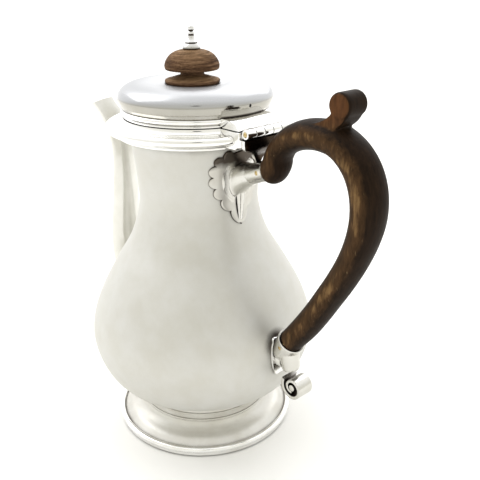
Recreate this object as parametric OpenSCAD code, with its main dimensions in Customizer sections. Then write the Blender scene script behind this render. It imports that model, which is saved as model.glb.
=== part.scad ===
// Baluster coffee pot with a hinged domed lid, a swan-neck spout and a wooden handle.
// Origin: centre of the foot's resting plane. +X: handle, -X: spout, +Z: up.

/* [Body] */
// Radius of the belly at its widest
belly_r = 67.4; // [60:0.2:72]
// Height of the widest part of the belly
belly_z = 60; // [54:1:66]
// Radius of the neck at its narrowest
neck_r = 34.7; // [32:0.1:37]
// Thickness of the raised silver wall
wall = 1.2; // [0.8:0.1:1.6]
// Radius of the upright rim under the lid
rim_r = 38.6; // [38:0.1:39.2]
// Height of the top edge of the body
rim_z = 192.6; // [190:0.1:194]

/* [Foot] */
// Largest radius of the foot
foot_r = 56; // [52:0.5:60]
// Radius of the foot where it meets the body
foot_neck_r = 40; // [38:0.5:42]

/* [Lid] */
// Largest radius of the lid, at its shoulder
lid_r = 43.1; // [42:0.1:44]
// Height of the lid's widest line above the seat
shoulder_rise = 10.1; // [9:0.1:11]
// Height of the middle of the crown above the seat
dome_rise = 16.5; // [15:0.1:18]
// How far the crown is pressed in round the knob
crown_dish = 1.4; // [0:0.1:2]
// Gap between the closed lid and the collar
seat_gap = 0.5; // [0.3:0.05:0.8]

/* [Knob] */
// Largest radius of the turned knob
knob_r = 15.1; // [12:0.1:17]
// Height of the turned knob
knob_h = 18.5; // [16:0.1:20]
// Distance of the knob from the lid's centre
knob_offset = 1.5; // [0:0.1:3]

/* [Hinge] */
// Distance of the hinge axis from the pot's axis
hinge_x = 54.8; // [54:0.1:56]
// Height of the hinge axis
hinge_z = 191.8; // [191:0.1:192.4]
// Length of the whole row of knuckles
hinge_len = 30; // [26:1:31]
// Outer radius of a knuckle
knuckle_r = 2.4; // [2.2:0.1:2.6]
// Radius of the hinge pin
pin_r = 1.3; // [1:0.05:1.4]

/* [Handle] */
// Half the width of the handle at its fullest
handle_half_w = 10; // [8:0.2:11]
// Depth of the handle at its fullest
handle_depth = 16.4; // [14:0.2:18]
// Radius of the thumb roll
thumb_r = 6.1; // [4.5:0.1:6.4]

/* [Spout] */
// Thickness of the spout wall
spout_wall = 1.1; // [0.9:0.1:1.4]
// Number of strainer holes in the outer ring
strainer_holes = 8; // [6:1:9]

/* [Hidden] */
$fn = 96;

silver = [0.88, 0.87, 0.84];
bright = [0.93, 0.92, 0.90];
brass = [0.80, 0.64, 0.34];
timber = [0.30, 0.19, 0.11];
pale_timber = [0.42, 0.27, 0.17];

seat_z = rim_z + seat_gap;                // lowest plane of the closed lid
shoulder_z = seat_z + shoulder_rise;
dome_z = seat_z + dome_rise;
foot_top_z = 24.5;                        // seam between foot and body
valley_r = foot_r - 3.7;                  // seam between the foot and its edge wire
valley_z = 4.6;
knuckles = 5;
knuckle_gap = 0.3;
knuckle_pitch = hinge_len / knuckles;
row_start = -hinge_len / 2 + 0.8;         // the row sits a little to one side of the block
leaf_half = 15.5;                         // half length of the straight hinge blocks
leaf_edge_x = hinge_x - knuckle_r - 0.35; // where the blocks stop short of the barrel
socket_r = 5.6;
socket_bore = 4.7;
socket_tilt = 20;                         // rise of the upper socket's axis
socket_mouth = [57.5, 171.8];             // centre of the upper socket's rim, in X and Z
cup_mouth = [76, 79.5];                   // centre of the lower socket's rim, in X and Z
cup_lean = 34;                            // lean of the lower socket's axis from upright
cup_r = 7.8;
cup_bore = 6.6;
scroll_centre = [81.4, 53.4];
scroll_r = 8.2;
thumb_centre = [106.4, 211.9];
knob_place = knob_offset * [-0.63, -0.78, 0];
plate_t = 0.9;                            // thickness of the applied silver plates
near_zero = 0.01;

// ---- curves ----

// Point on a smooth curve through the points p, u counted in spans
function along(p, u) =
    let (last = len(p) - 1,
         i = min(floor(u), last - 1),
         t = u - i,
         a = p[max(i - 1, 0)], b = p[i], c = p[i + 1], d = p[min(i + 2, last)])
    0.5 * (2 * b + (c - a) * t + (2 * a - 5 * b + 4 * c - d) * t * t
           + (3 * b - a - 3 * c + d) * t * t * t);

// Smooth curve through p, with n points in each span
function smooth(p, n) = [for (k = [0 : (len(p) - 1) * n]) along(p, k / n)];

// Arc from angle a0 to a1 about c
function arc(c, r, a0, a1, n = 8) =
    [for (k = [0 : n]) c + r * [cos(a0 + (a1 - a0) * k / n), sin(a0 + (a1 - a0) * k / n)]];

function reversed(p) = [for (k = [len(p) - 1 : -1 : 0]) p[k]];

// ---- body of revolution ----

// Outer line of the body, from the seam with the foot up to the rim
function body_line(n) = smooth([
    [foot_neck_r, foot_top_z], [49.5, 28.9], [57.6, 35.1], [belly_r - 3.4, 46], [belly_r, belly_z],
    [belly_r - 1.6, 74], [59.7, 89.6], [50.3, 106.4], [40.4, 123.2], [neck_r + 0.5, 140],
    [neck_r, 153], [neck_r + 1.9, 173.6], [rim_r, 185]], n);

// Solid inside the body's outer line, grown outwards by g
module body_solid(g = 0) {
    rotate_extrude()
        polygon(concat([[0, foot_top_z]],
                       [for (p = body_line(3)) p + [g, 0]],
                       [[rim_r + g, rim_z], [0, rim_z]]));
}

module body() {
    line = body_line(3);
    color(silver)
    difference() {
        rotate_extrude()
            polygon(concat([[0, foot_top_z]], line, [[rim_r, rim_z], [rim_r - wall, rim_z]],
                           [for (p = reversed(line)) if (p[1] > foot_top_z + 3) p - [wall, 0]],
                           [[foot_neck_r - 1, foot_top_z + wall], [0, foot_top_z + wall]]));
        strainer();
    }
}

// Holes through the body's wall where the spout is soldered on
module strainer() {
    spout_root_z = 71;
    hole_r = 1.4;
    ring_r = 5.6;
    for (k = [0 : strainer_holes])
        translate([0, 0, spout_root_z])
            translate(k == 0 ? [0, 0, 0] : [0, ring_r * cos(k * 360 / strainer_holes),
                                            ring_r * sin(k * 360 / strainer_holes)])
                rotate([0, -90, 0])
                    cylinder(r = hole_r, h = belly_r + 5, $fn = 24);
}

module foot() {
    hollow_r = foot_neck_r - 3.5;
    neck_low = foot_top_z - 9;
    color(silver)
    rotate_extrude()
        polygon(concat(
            [[hollow_r, foot_top_z]],
            [[foot_neck_r, foot_top_z]],
            arc([foot_neck_r, foot_top_z - 5], 0.6, 90, -90, 6),
            arc([foot_neck_r, neck_low - 0.2], 0.7, 90, -60, 6),
            smooth([[foot_neck_r + 0.8, neck_low - 1.4], [foot_neck_r + 2, neck_low - 3.4],
                    [foot_neck_r + 4.6, neck_low - 5.4], [foot_neck_r + 8.2, neck_low - 7.3],
                    [valley_r - 1.5, valley_z + 1.4], [valley_r, valley_z]], 2),
            [[valley_r - 1.3, valley_z - 1.4], [valley_r - 2.7, valley_z - 2.4]],
            [[valley_r - 4.2, valley_z - 0.6], [foot_neck_r + 4.4, neck_low - 8.2]],
            [[foot_neck_r + 1, neck_low - 6.1], [foot_neck_r - 2, neck_low - 3]],
            [[hollow_r, neck_low + 0.5]]));
}

// Half-round wire that edges the foot, on the narrow ring that the pot stands on
module foot_wire() {
    color(bright)
    rotate_extrude()
        polygon(concat(
            [[valley_r - 2.9, 0], [valley_r - 2.7, valley_z - 2.4], [valley_r - 1.3, valley_z - 1.4]],
            [[valley_r, valley_z], [valley_r + 0.5, valley_z + 1]],
            arc([foot_r - 1.8, valley_z], 1.8, 125, -50, 8),
            [[foot_r - 0.9, 2.4], [foot_r - 1, 1.7], [foot_r - 1.4, 0.7], [foot_r - 2.1, 0]]));
}

// ---- mouldings round the mouth ----

module collar() {
    color(bright)
    difference() {
        rotate_extrude()
            polygon(concat(
                [[rim_r - 1.2, 181.2], [rim_r + 4.4, 182.0]],
                arc([rim_r + 5, 183], 0.9, -90, 60, 5),
                [[rim_r + 5.4, 184.4]],
                arc([rim_r + 8.4, 185.4], 0.9, -90, 20, 4),
                arc([rim_r + 9.7, 187.6], 2.4, -70, 110, 10),
                [[rim_r + 6.8, 189.2], [rim_r + 6.3, 189.3]],
                arc([rim_r + 6.2, rim_z + 0.66], 3.8, 265, 190, 6),
                [[rim_r, rim_z], [rim_r - 1.2, 186]]));
        body_solid();
        hinge_notch(170, rim_z + 1);
    }
}

// Clears the run of a round moulding where the straight hinge block takes its place
module hinge_notch(low, high) {
    translate([20, -leaf_half, low])
        cube([50, 2 * leaf_half, high - low]);
}

// ---- lid ----

lid_band = [[rim_r + 0.2, 0], [rim_r + 2.4, 4.5], [lid_r - 0.3, shoulder_rise - 1.8]];

// Line of the crown from the widest line to the middle, moved by shift along R and Z
function crown_line(shift, n) = [for (p = smooth([
    [lid_r, shoulder_z], [lid_r - 0.5, shoulder_z + 2], [lid_r - 1.9, shoulder_z + 4],
    [lid_r - 4.1, shoulder_z + 5.7], [lid_r - 7.1, dome_z + crown_dish - 0.8],
    [lid_r - 10.6, dome_z + crown_dish - 0.1], [lid_r - 15, dome_z + crown_dish],
    [lid_r - 22, dome_z + crown_dish * 0.6], [lid_r - 28, dome_z + crown_dish * 0.15],
    [0, dome_z]], n)) [max(p[0] + shift[0] * min(p[0] / lid_r, 1), 0), p[1] + shift[1]]];

// Outer line of the lid, from the seat up over the shoulder to the middle
function lid_line() = concat([for (p = lid_band) p + [0, seat_z]], crown_line([0, 0], 2));

module lid_solid() {
    rotate_extrude()
        polygon(concat([[0, seat_z]], lid_line()));
}

module lid() {
    vent_z = shoulder_z - 0.4;
    vent_turn = 1;
    stud_hole_r = 1.9;
    color(silver)
    difference() {
        rotate_extrude()
            polygon(concat(
                lid_line(),
                reversed(crown_line([-wall, -wall], 1)),
                [[rim_r + 2.4 - wall, seat_z + 4.5], [rim_r + 0.2 - wall, seat_z]]));
        translate(knob_place + [0, 0, dome_z - 10])
            cylinder(r = stud_hole_r, h = 20);
        rotate([0, 0, vent_turn])
            translate([30, 0, vent_z])
                rotate([0, 90, 0])
                    cylinder(r = 0.7, h = 20, $fn = 24);
    }
}

module lid_wire() {
    color(bright)
    difference() {
        rotate_extrude()
            polygon(concat(
                [[rim_r - 1, seat_z], [rim_r + 1.2, seat_z]],
                arc([rim_r + 1.4, seat_z + 0.8], 0.8, -80, 30, 4),
                arc([rim_r + 1.9, seat_z + 2.9], 1.5, -60, 80, 6),
                [[rim_r + 2.2, seat_z + 4.6], [rim_r, seat_z + 4.6]]));
        lid_solid();
        hinge_notch(seat_z - 1, seat_z + 8);
    }
}

// Ring inside the lid that locates it in the mouth
module lid_flange() {
    flange_r = rim_r - wall - 0.8;
    color(silver)
    difference() {
        rotate_extrude()
            polygon([[flange_r - 1, seat_z - 6], [flange_r - 0.2, seat_z - 6], [flange_r, seat_z - 5],
                     [flange_r, seat_z + 0.6], [rim_r + 2, seat_z + 0.6], [rim_r + 2, seat_z + 1.5],
                     [flange_r - 1, seat_z + 1.5]]);
        difference() {
            cylinder(r = 60, h = 240);
            lid_cavity();
        }
    }
}

// Space inside the lid's band
module lid_cavity() {
    rotate_extrude()
        polygon([[0, 150], [rim_r - wall, 150], [rim_r - wall, seat_z - 0.1],
                 [rim_r + 0.2 - wall, seat_z],
                 [rim_r + 2.4 - wall, seat_z + 4.5], [0, seat_z + 4.5]]);
}

// ---- knob and its fastening ----

module knob() {
    h = knob_h;
    base_z = dome_z - 0.35;
    color(pale_timber)
    difference() {
        translate(knob_place + [0, 0, base_z])
            rotate_extrude()
                polygon(concat(
                    [[0, 0], [knob_r - 0.8, 0]],
                    arc([knob_r - 0.9, 1.8], 1, -60, 70, 4),
                    smooth([[knob_r - 1.2, 2.9], [knob_r - 3.4, 3.5], [knob_r - 6, 4.3], [6.9, 5.0],
                            [6.5, 5.9]], 3),
                    [[6.5, 7.9], [knob_r - 1.3, 7.7]],
                    arc([knob_r - 1.4, 9.0], 1.3, -70, 0, 4),
                    smooth([[knob_r, 10.1], [knob_r - 0.5, 12], [knob_r - 1.8, 14.2], [knob_r - 3.7, 16.1],
                            [knob_r - 6.4, 17.5], [knob_r - 9.8, h - 0.2], [0, h]], 3)));
        lid_solid();
        translate(knob_place + [0, 0, base_z - 1])
            cylinder(r = 1.9, h = h + 4);
    }
}

// Turned silver finial on a stud that runs through the knob and the lid
module finial() {
    z0 = dome_z - 0.35 + knob_h + 0.02;
    stud_r = 1.8;
    stud_low = dome_z - 7.2;
    color(bright)
    translate(knob_place)
    union() {
        rotate_extrude()
            polygon([for (p = concat(
                [[0, 0], [4.7, 0], [4.8, 0.7]],
                arc([4.2, 1.9], 0.7, -30, 100, 4),
                [[3.7, 3.1]],
                smooth([[3.6, 3.7], [2.6, 4.7], [2.0, 5.8], [1.7, 6.9]], 2),
                arc([0.95, 8.2], 1.0, -60, 60, 5),
                arc([0, 10.7], 1.9, -48, 90, 7))) p + [0, z0]]);
        translate([0, 0, stud_low])
            cylinder(r = stud_r, h = z0 - stud_low + 0.5);
    }
}

module knob_washer() {
    color(silver)
    translate(knob_place + [0, 0, dome_z - wall - 1.0])
        difference() {
            cylinder(r = 7, h = 0.9);
            translate([0, 0, -1])
                cylinder(r = 1.9, h = 3);
        }
}

module knob_nut() {
    nut_flats = 6;
    color(brass)
    translate(knob_place + [0, 0, dome_z - wall - 4.1])
        difference() {
            cylinder(r = 4.2, h = 3, $fn = nut_flats);
            translate([0, 0, -1])
                cylinder(r = 1.8, h = 5);
        }
}

// ---- hinge ----

// Straight bar along Y with the outline p in X and Z
module bar(p, half) {
    translate([0, half, 0])
        rotate([90, 0, 0])
            linear_extrude(height = 2 * half)
                polygon(p);
}

// The knuckles whose number leaves the remainder odd when halved, with their webs
module knuckle_row(odd, web_low, web_high, bore) {
    for (k = [odd : 2 : knuckles - 1]) {
        y0 = row_start + k * knuckle_pitch + (k == 0 ? 0 : knuckle_gap / 2);
        y1 = row_start + (k + 1) * knuckle_pitch - (k == knuckles - 1 ? 0 : knuckle_gap / 2);
        difference() {
            union() {
                translate([hinge_x, y1, hinge_z])
                    rotate([90, 0, 0])
                        cylinder(r = knuckle_r, h = y1 - y0);
                translate([leaf_edge_x - 1, y0, web_low])
                    cube([hinge_x - leaf_edge_x + 1, y1 - y0, web_high - web_low]);
            }
            translate([hinge_x, y1 + 1, hinge_z])
                rotate([90, 0, 0])
                    cylinder(r = bore, h = y1 - y0 + 2);
        }
    }
}

module hinge_body_leaf() {
    color(bright)
    union() {
        difference() {
            bar(concat([[30, 183.2], [48.6, 183.2], [50.2, 184.4], [53.6, 185.2], [53.6, 188.9],
                        [leaf_edge_x, 188.9], [leaf_edge_x, rim_z], [30, rim_z]]), leaf_half);
            body_solid();
        }
        knuckle_row(0, 188.9, hinge_z, pin_r);
    }
}

module hinge_lid_leaf() {
    color(bright)
    union() {
        difference() {
            bar([[30, seat_z], [leaf_edge_x, seat_z], [leaf_edge_x, hinge_z + knuckle_r],
                 [50.6, hinge_z + knuckle_r + 0.4], [48.8, seat_z + 3.4], [46, seat_z + 4.6],
                 [30, seat_z + 4.6]], leaf_half);
            lid_solid();
        }
        knuckle_row(1, seat_z, hinge_z + knuckle_r, pin_r + 0.05);
    }
}

module hinge_pin() {
    color(brass)
    translate([hinge_x, row_start + hinge_len + 0.2, hinge_z])
        rotate([90, 0, 0])
            cylinder(r = pin_r, h = hinge_len + 0.4);
}

// Plate that ties the hinge block down to the upper socket
module hinge_bracket() {
    thick = 2.4;
    spine = smooth([[54.9, 188.9], [54.9, 184.5], [52.6, 181.4], [49.8, 178.6], [48.9, 174.5],
                    [48.7, 170]], 4);
    color(silver)
    difference() {
        intersection() {
            bar(concat([for (p = spine) p + [thick / 2, 0]],
                       reversed([for (p = spine) p - [thick / 2, 0]])), leaf_half);
            translate([30, 0, 0])
                rotate([90, 0, 90])
                    linear_extrude(height = 40)
                        polygon(concat(
                            [[-15.5, 190], [-15.5, 184.6], [-13.5, 183.2], [-8, 181.6]],
                            [[-5.4, 179.6], [-1.6, 174.8], [-1.2, 169]],
                            [[1.2, 169], [1.6, 174.8], [5.4, 179.6]],
                            [[8, 181.6], [13.5, 183.2], [15.5, 184.6], [15.5, 190]]));
        }
        socket_axis()
            translate([0, 0, -40])
                cylinder(r = socket_r, h = 60);
    }
}

// ---- upper socket and its cut-card plate ----

// Places children with +Z along the upper socket's axis and the origin at its mouth
module socket_axis() {
    translate([socket_mouth[0], 0, socket_mouth[1]])
        rotate([0, 90 - socket_tilt, 0])
            children();
}

// One side of the plate's outline, with scallops, in Y and Z
function card_side() =
    let (spine = smooth([[0, 178.6], [8.2, 178], [14.9, 173.6], [16.9, 165.5], [14.3, 156.5],
                         [8.6, 147.5], [0, 137.4]], 16),
         lobes = 8, n = len(spine) - 1, per_lobe = n / lobes, depth = 1.7)
    [for (k = [0 : 2 : n - 1])
        let (tangent = spine[min(k + 1, n)] - spine[max(k - 1, 0)],
             outward = [-tangent[1], tangent[0]] / norm(tangent),
             swell = abs(sin(180 * k / per_lobe)))
        spine[k] + outward * depth * swell * (k < per_lobe ? 0 : 1)];

module upper_plate() {
    side = card_side();
    color(bright)
    intersection() {
        difference() {
            body_solid(plate_t);
            body_solid();
        }
        translate([10, 0, 0])
            rotate([90, 0, 90])
                linear_extrude(height = 40)
                    polygon(concat(side, [[0, 136.6]],
                                   [for (p = reversed(side)) if (p[0] > 0) [-p[0], p[1]]]));
    }
}

// Flared root of the upper socket: distance from its mouth, half height and half width
socket_root = [[-3, 5.2, 5.2], [-11.6, 5.45, 5.45], [-15, 6.3, 6.0], [-20, 7.6, 6.8], [-24.5, 9.3, 7.7],
               [-28, 12, 8.8], [-30.5, 14, 9.8]];

module upper_socket() {
    length = 24;
    tongue_low = 139.5;
    sides = 24;
    color(silver)
    difference() {
        union() {
            socket_axis() {
                rotate_extrude()
                    polygon([[0, -length], [socket_r, -length], [socket_r, -1], [socket_r + 0.3, -0.8],
                             [socket_r + 0.3, 0], [0, 0]]);
                skin([for (s = smooth(socket_root, 2))
                    [for (k = [0 : sides - 1])
                        [s[1] * cos(k * 360 / sides), s[2] * sin(k * 360 / sides), s[0]]]]);
            }
            translate([neck_r - 0.5, 0, tongue_low])
                rotate([0, 1.5, 0])
                    cylinder(r1 = 1.4, r2 = 4.2, h = 25);
        }
        body_solid(plate_t);
        socket_axis()
            translate([0, 0, -12])
                cylinder(r = socket_bore, h = 20);
        rivet_hole(1.25);
    }
}

module rivet_hole(r) {
    socket_axis()
        translate([0, 0, -4])
            rotate([90, 0, 0])
                cylinder(r = r, h = 40, center = true, $fn = 32);
}

module upper_rivet() {
    color(brass)
    socket_axis()
        translate([0, 0, -4])
            rotate([90, 0, 0])
                cylinder(r = 1.25, h = 2 * socket_r + 0.5, center = true, $fn = 32);
}

// ---- handle ----

// Stations of the handle: X, Z, depth and half width of the section
handle_line = [
    [58.6, 171.7, 12.2, 7.6], [61.0, 172.6, 14.6, 8.4], [63.6, 176.2, 14.0, 8.7],
    [64.9, 180.8, 12.4, 8.8], [68.2, 186.2, 12.2, 9.0], [73.8, 190.8, 13.4, 9.3],
    [80.6, 193.9, 14.4, 9.7], [87.6, 195.5, 15.0, handle_half_w], [94.8, 195.7, 15.2, handle_half_w],
    [103.0, 194.2, 15.4, handle_half_w], [110.8, 189.5, 16.0, handle_half_w],
    [116.9, 182.2, handle_depth, handle_half_w], [120.4, 172.6, handle_depth, handle_half_w],
    [120.9, 161.4, 16.0, 9.8], [118.2, 149.2, 15.0, 9.4], [113.4, 137.2, 14.3, 9.0],
    [107.2, 125.4, 14.1, 8.6], [100.0, 113.5, 14.0, 8.3], [92.7, 101.8, 14.0, 8.1],
    [85.2, 91.0, 14.0, 8.0], [76.35, 79.95, 13.2, 7.4]];

// Ring of points round a section at s = [x, z, depth, half width], crossing the line at angle a.
// The section is flatter on its outer side, so its widest line lies outside the middle.
function oval_ring(s, a, sides) =
    [for (k = [0 : sides - 1])
        let (t = 360 * k / sides,
             n = s[2] * (0.07 + cos(t) * (cos(t) > 0 ? 0.43 : 0.57)))
        [s[0] - sin(a) * n, sin(t) * s[3], s[1] + cos(a) * n]];

// Closed skin over a list of rings with the same number of points
module skin(rings) {
    sides = len(rings[0]);
    last = len(rings) - 1;
    points = [for (r = rings) for (p = r) p];
    walls = [for (i = [0 : last - 1]) for (k = [0 : sides - 1])
        let (a = i * sides + k, b = i * sides + (k + 1) % sides)
        each [[a, b, b + sides], [a, b + sides, a + sides]]];
    polyhedron(points = points,
               faces = concat([[for (k = [sides - 1 : -1 : 0]) k]], walls,
                              [[for (k = [0 : sides - 1]) last * sides + k]]));
}

// Direction of the line at u, in degrees from +X towards +Z
function heading(p, u) =
    let (e = 0.2, last = len(p) - 1,
         d = along(p, min(u + e, last)) - along(p, max(u - e, 0)))
    atan2(d[1], d[0]);

module handle() {
    spans = len(handle_line) - 1;
    steps = spans * 2;
    sides = 20;
    color(timber)
    difference() {
        union() {
            skin([for (k = [0 : steps])
                let (u = k * spans / steps)
                oval_ring(along(handle_line, u), heading(handle_line, u), sides)]);
            thumb_piece();
            socket_axis()
                translate([0, 0, -11.9])
                    cylinder(r = socket_bore, h = 13);
            cup_axis()
                translate([0, 0, -6.9])
                    cylinder(r = cup_bore, h = 8);
        }
        rivet_hole(1.25);
        cup_rivet_hole(1.25);
    }
}

// Rolled thumb rest and the slender tongue that rises to it from the handle's back
module thumb_piece() {
    half = 7;
    c = thumb_centre;
    bar(concat(smooth([[82, 199.4], [89, 201.6], [95.5, 203.6], [100.5, 206.8], [102.4, 209.6]], 3),
               [c, c + [3.6, -3.6]],
               smooth([[109.8, 206.6], [107.6, 203.6], [103, 200.6], [96, 198.4], [86, 196]], 2)),
        half - 0.8);
    translate([c[0], half, c[1]])
        rotate([90, 0, 0])
            rotate_extrude()
                polygon(concat([[0, 0]], arc([thumb_r - 1.6, 1.6], 1.6, -90, 0, 5),
                               arc([thumb_r - 1.6, 2 * half - 1.6], 1.6, 0, 90, 5),
                               [[0, 2 * half]]));
}

// ---- lower socket ----

// Places children with +Z along the lower socket's axis and the origin at its mouth
module cup_axis() {
    translate([cup_mouth[0], 0, cup_mouth[1]])
        rotate([0, cup_lean, 0])
            children();
}

module cup_rivet_hole(r) {
    cup_axis()
        translate([0, 0, -3.2])
            rotate([90, 0, 0])
                cylinder(r = r, h = 40, center = true, $fn = 32);
}

module lower_plate() {
    half = 6;
    color(bright)
    intersection() {
        difference() {
            body_solid(plate_t + 0.6);
            body_solid();
        }
        translate([40, 0, 0])
            rotate([90, 0, 90])
                linear_extrude(height = 40)
                    union() {
                        translate([-half, 59])
                            square([2 * half, 15]);
                        for (end = [-1, 1])
                            translate([0, 66.5 + end * 7.5])
                                circle(r = 5);
                        for (side = [-1, 1])
                            for (end = [-1, 1])
                                translate([side * (half - 0.6), 66.5 + end * 7.2])
                                    circle(r = 1.9);
                    }
    }
}

module lower_socket() {
    depth = 9;
    color(silver)
    difference() {
        union() {
            cup_axis() {
                translate([0, 0, -depth])
                    cylinder(r1 = cup_r - 0.8, r2 = cup_r, h = depth);
                translate([0, 0, -depth])
                    sphere(r = cup_r - 0.8);
            }
            translate([64, 0, 66])
                rotate([0, 90, 0])
                    cylinder(r = 5.2, h = 8);
            translate([scroll_centre[0] - 5, 0, scroll_centre[1] + scroll_r - 1])
                rotate([0, -12, 0])
                    cylinder(r1 = 5, r2 = 6.4, h = 14);
        }
        body_solid(plate_t + 0.6);
        cup_axis()
            translate([0, 0, -7])
                cylinder(r = cup_bore, h = 20);
        cup_rivet_hole(1.25);
        scroll_space();
    }
}

module lower_rivet() {
    color(brass)
    cup_axis()
        translate([0, 0, -3.2])
            rotate([90, 0, 0])
                cylinder(r = 1.25, h = 2 * cup_r - 0.1, center = true, $fn = 32);
}

module scroll_space() {
    translate([scroll_centre[0], 0, scroll_centre[1]])
        rotate([90, 0, 0])
            cylinder(r = scroll_r + near_zero, h = 30, center = true);
}

// Volute that ends the lower socket: a rolled strap with a boss at its eye
module scroll_terminal() {
    half = 5.3;
    strap = 2.1;
    turns = 1.35;
    steps = 40;
    start = 150;
    spiral = [for (k = [0 : steps])
        let (t = k / steps, a = start + 360 * turns * t, r = scroll_r - 5 * t)
        [r * cos(a), r * sin(a)]];
    inner = [for (k = [0 : steps])
        let (t = k / steps, a = start + 360 * turns * t, r = scroll_r - 5 * t - strap * (1 - 0.3 * t))
        [r * cos(a), r * sin(a)]];
    color(silver)
    translate([scroll_centre[0], 0, scroll_centre[1]])
        rotate([90, 0, 0]) {
            linear_extrude(height = 2 * half, center = true)
                union() {
                    polygon(concat(spiral, reversed(inner)));
                    circle(r = 1.9, $fn = 32);
                }
        }
}

// ---- spout ----

// Stations of the spout: outer X and Z, inner X and Z, half width
spout_line = [
    [-62, 47, -58, 82, 11.5], [-74.4, 55, -64, 86, 12.2], [-84, 66, -68, 90, 12.0],
    [-87.8, 80, -69.8, 95, 11.6], [-89.4, 98, -71.0, 103, 10.8], [-87.6, 116, -70.8, 117, 9.7],
    [-84.6, 134, -70.4, 133, 8.8], [-82.8, 149, -70.6, 148, 8.1], [-84.2, 161, -71.6, 162, 7.6],
    [-90.2, 171.3, -74.0, 174, 7.3], [-99.2, 178.4, -79.0, 184, 7.0], [-109.4, 183, -85.8, 191.4, 6.4]];

// Ring of a spout section, moved inwards by inset
function spout_ring(s, inset, sides) =
    let (mid = [s[0] + s[2], s[1] + s[3]] / 2,
         half = [s[0] - s[2], s[1] - s[3]] / 2,
         depth = norm(half),
         unit = half / depth)
    [for (k = [0 : sides - 1])
        let (t = 360 * k / sides, n = cos(t) * (depth - inset))
        [mid[0] + unit[0] * n, sin(t) * (s[4] - inset), mid[1] + unit[1] * n]];

module spout_form(inset, last_shift) {
    spans = len(spout_line) - 1;
    steps = spans * 2;
    sides = 24;
    lift = [-0.12, 0.42, -0.12, 0.42, 0] * last_shift;
    skin([for (k = [0 : steps])
        spout_ring(along(spout_line, k * spans / steps)
                   + (k == steps ? lift : [0, 0, 0, 0, 0]), inset, sides)]);
}

module spout() {
    color(silver)
    difference() {
        spout_form(0, 0);
        spout_form(spout_wall, 1);
        body_solid();
    }
}

body();
foot();
foot_wire();
collar();
spout();
lid();
lid_wire();
lid_flange();
knob();
finial();
knob_washer();
knob_nut();
hinge_body_leaf();
hinge_lid_leaf();
hinge_pin();
hinge_bracket();
upper_plate();
upper_socket();
upper_rivet();
handle();
lower_plate();
lower_socket();
lower_rivet();
scroll_terminal();
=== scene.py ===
"""Silver baluster coffee pot with a hinged lid and a wooden handle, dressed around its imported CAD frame."""

import math

import bmesh
import bpy
import numpy as np
from mathutils import Matrix, Vector


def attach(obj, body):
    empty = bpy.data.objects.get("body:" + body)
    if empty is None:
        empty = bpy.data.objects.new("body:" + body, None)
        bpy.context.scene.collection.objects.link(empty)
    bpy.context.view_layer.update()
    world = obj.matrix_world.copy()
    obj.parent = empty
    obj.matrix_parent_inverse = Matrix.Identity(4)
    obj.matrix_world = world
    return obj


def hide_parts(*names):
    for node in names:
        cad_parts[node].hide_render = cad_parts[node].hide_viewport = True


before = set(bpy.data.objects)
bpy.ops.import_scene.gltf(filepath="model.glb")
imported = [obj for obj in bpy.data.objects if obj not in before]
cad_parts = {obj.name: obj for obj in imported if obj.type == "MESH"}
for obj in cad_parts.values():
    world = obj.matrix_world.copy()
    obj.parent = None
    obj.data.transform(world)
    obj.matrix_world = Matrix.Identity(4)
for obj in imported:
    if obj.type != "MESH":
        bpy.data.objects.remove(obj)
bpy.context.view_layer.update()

MM = 0.001

# ---- driving dimensions in millimetres, the same as the frame's ----
RIM_R = 38.6
RIM_Z = 192.6
WALL = 1.2
BELLY_R = 67.4
BELLY_Z = 60.0
NECK_R = 34.7
FOOT_R = 56.0
FOOT_NECK_R = 40.0
FOOT_TOP_Z = 24.5
VALLEY_R = FOOT_R - 3.7
VALLEY_Z = 4.6
LID_R = 43.1
SEAT_Z = RIM_Z + 0.5
SHOULDER_Z = SEAT_Z + 10.1
DOME_Z = SEAT_Z + 16.5
CROWN_DISH = 1.4
KNOB_R = 15.1
KNOB_H = 18.5
FINIAL_Z = DOME_Z - 0.33 + KNOB_H
KNOB_PLACE = (-0.945, -1.17)
HINGE_X = 54.8
HINGE_Z = 191.8
HINGE_LEN = 30.0
ROW_START = -HINGE_LEN / 2 + 0.8
KNUCKLES = 5
KNUCKLE_R = 2.4
KNUCKLE_GAP = 0.3
PIN_R = 1.3
LEAF_HALF = 15.5
LEAF_EDGE_X = HINGE_X - KNUCKLE_R - 0.35
PLATE_T = 0.9
LOWER_PLATE_T = PLATE_T + 0.6
LOWER_PLATE_Z = 66.5
CARD_MIDDLE_Z = 163
STRAP_T = 2.4
ROUND_SIDE_X = 34
BLOCK_TOP_Z = 188.9
SOCKET_R = 5.6
SOCKET_BORE = 4.7
SOCKET_TILT = math.radians(20)
SOCKET_MOUTH = (57.5, 171.8)
CUP_MOUTH = (76.0, 79.5)
CUP_LEAN = math.radians(34)
CUP_R = 7.8
SCROLL_CENTRE = (81.4, 53.4)
SCROLL_R = 8.2
THUMB_CENTRE = (106.4, 211.9)
THUMB_R = 6.1
SPOUT_WALL = 1.1

# ---- camera, as fitted to the object's own rings ----
LENS_MM = 50.3
CAMERA_AZIMUTH = math.radians(51)
CAMERA_DISTANCE = 0.3753
CAMERA_HEIGHT = 0.2680
CAMERA_YAW = math.radians(3.64)
CAMERA_PITCH = math.radians(22.08)
CAMERA_ROLL = math.radians(0.48)

# ---- studio: a room whose front is the side that the camera stands on ----
FRONT_AZIMUTH = -39
WALL_STOPS = [(0.0, (0.66, 0.645, 0.58)), (0.45, (0.68, 0.67, 0.615)), (0.58, (0.76, 0.755, 0.725)),
              (0.74, (0.94, 0.94, 0.93)), (0.90, (1.0, 1.0, 1.0))]
WALL_STRENGTH = 1.38
GAP_ELEVATION = 30
GAP_WIDE = 7
FLOOR_R = 1600
KEY_PLACE = (-0.85, -0.35, 1.2)
KEY_POWER = 5.0
BACK_PLACE = (-0.5, 0.9, 1.0)
BACK_POWER = 5.0


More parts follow.
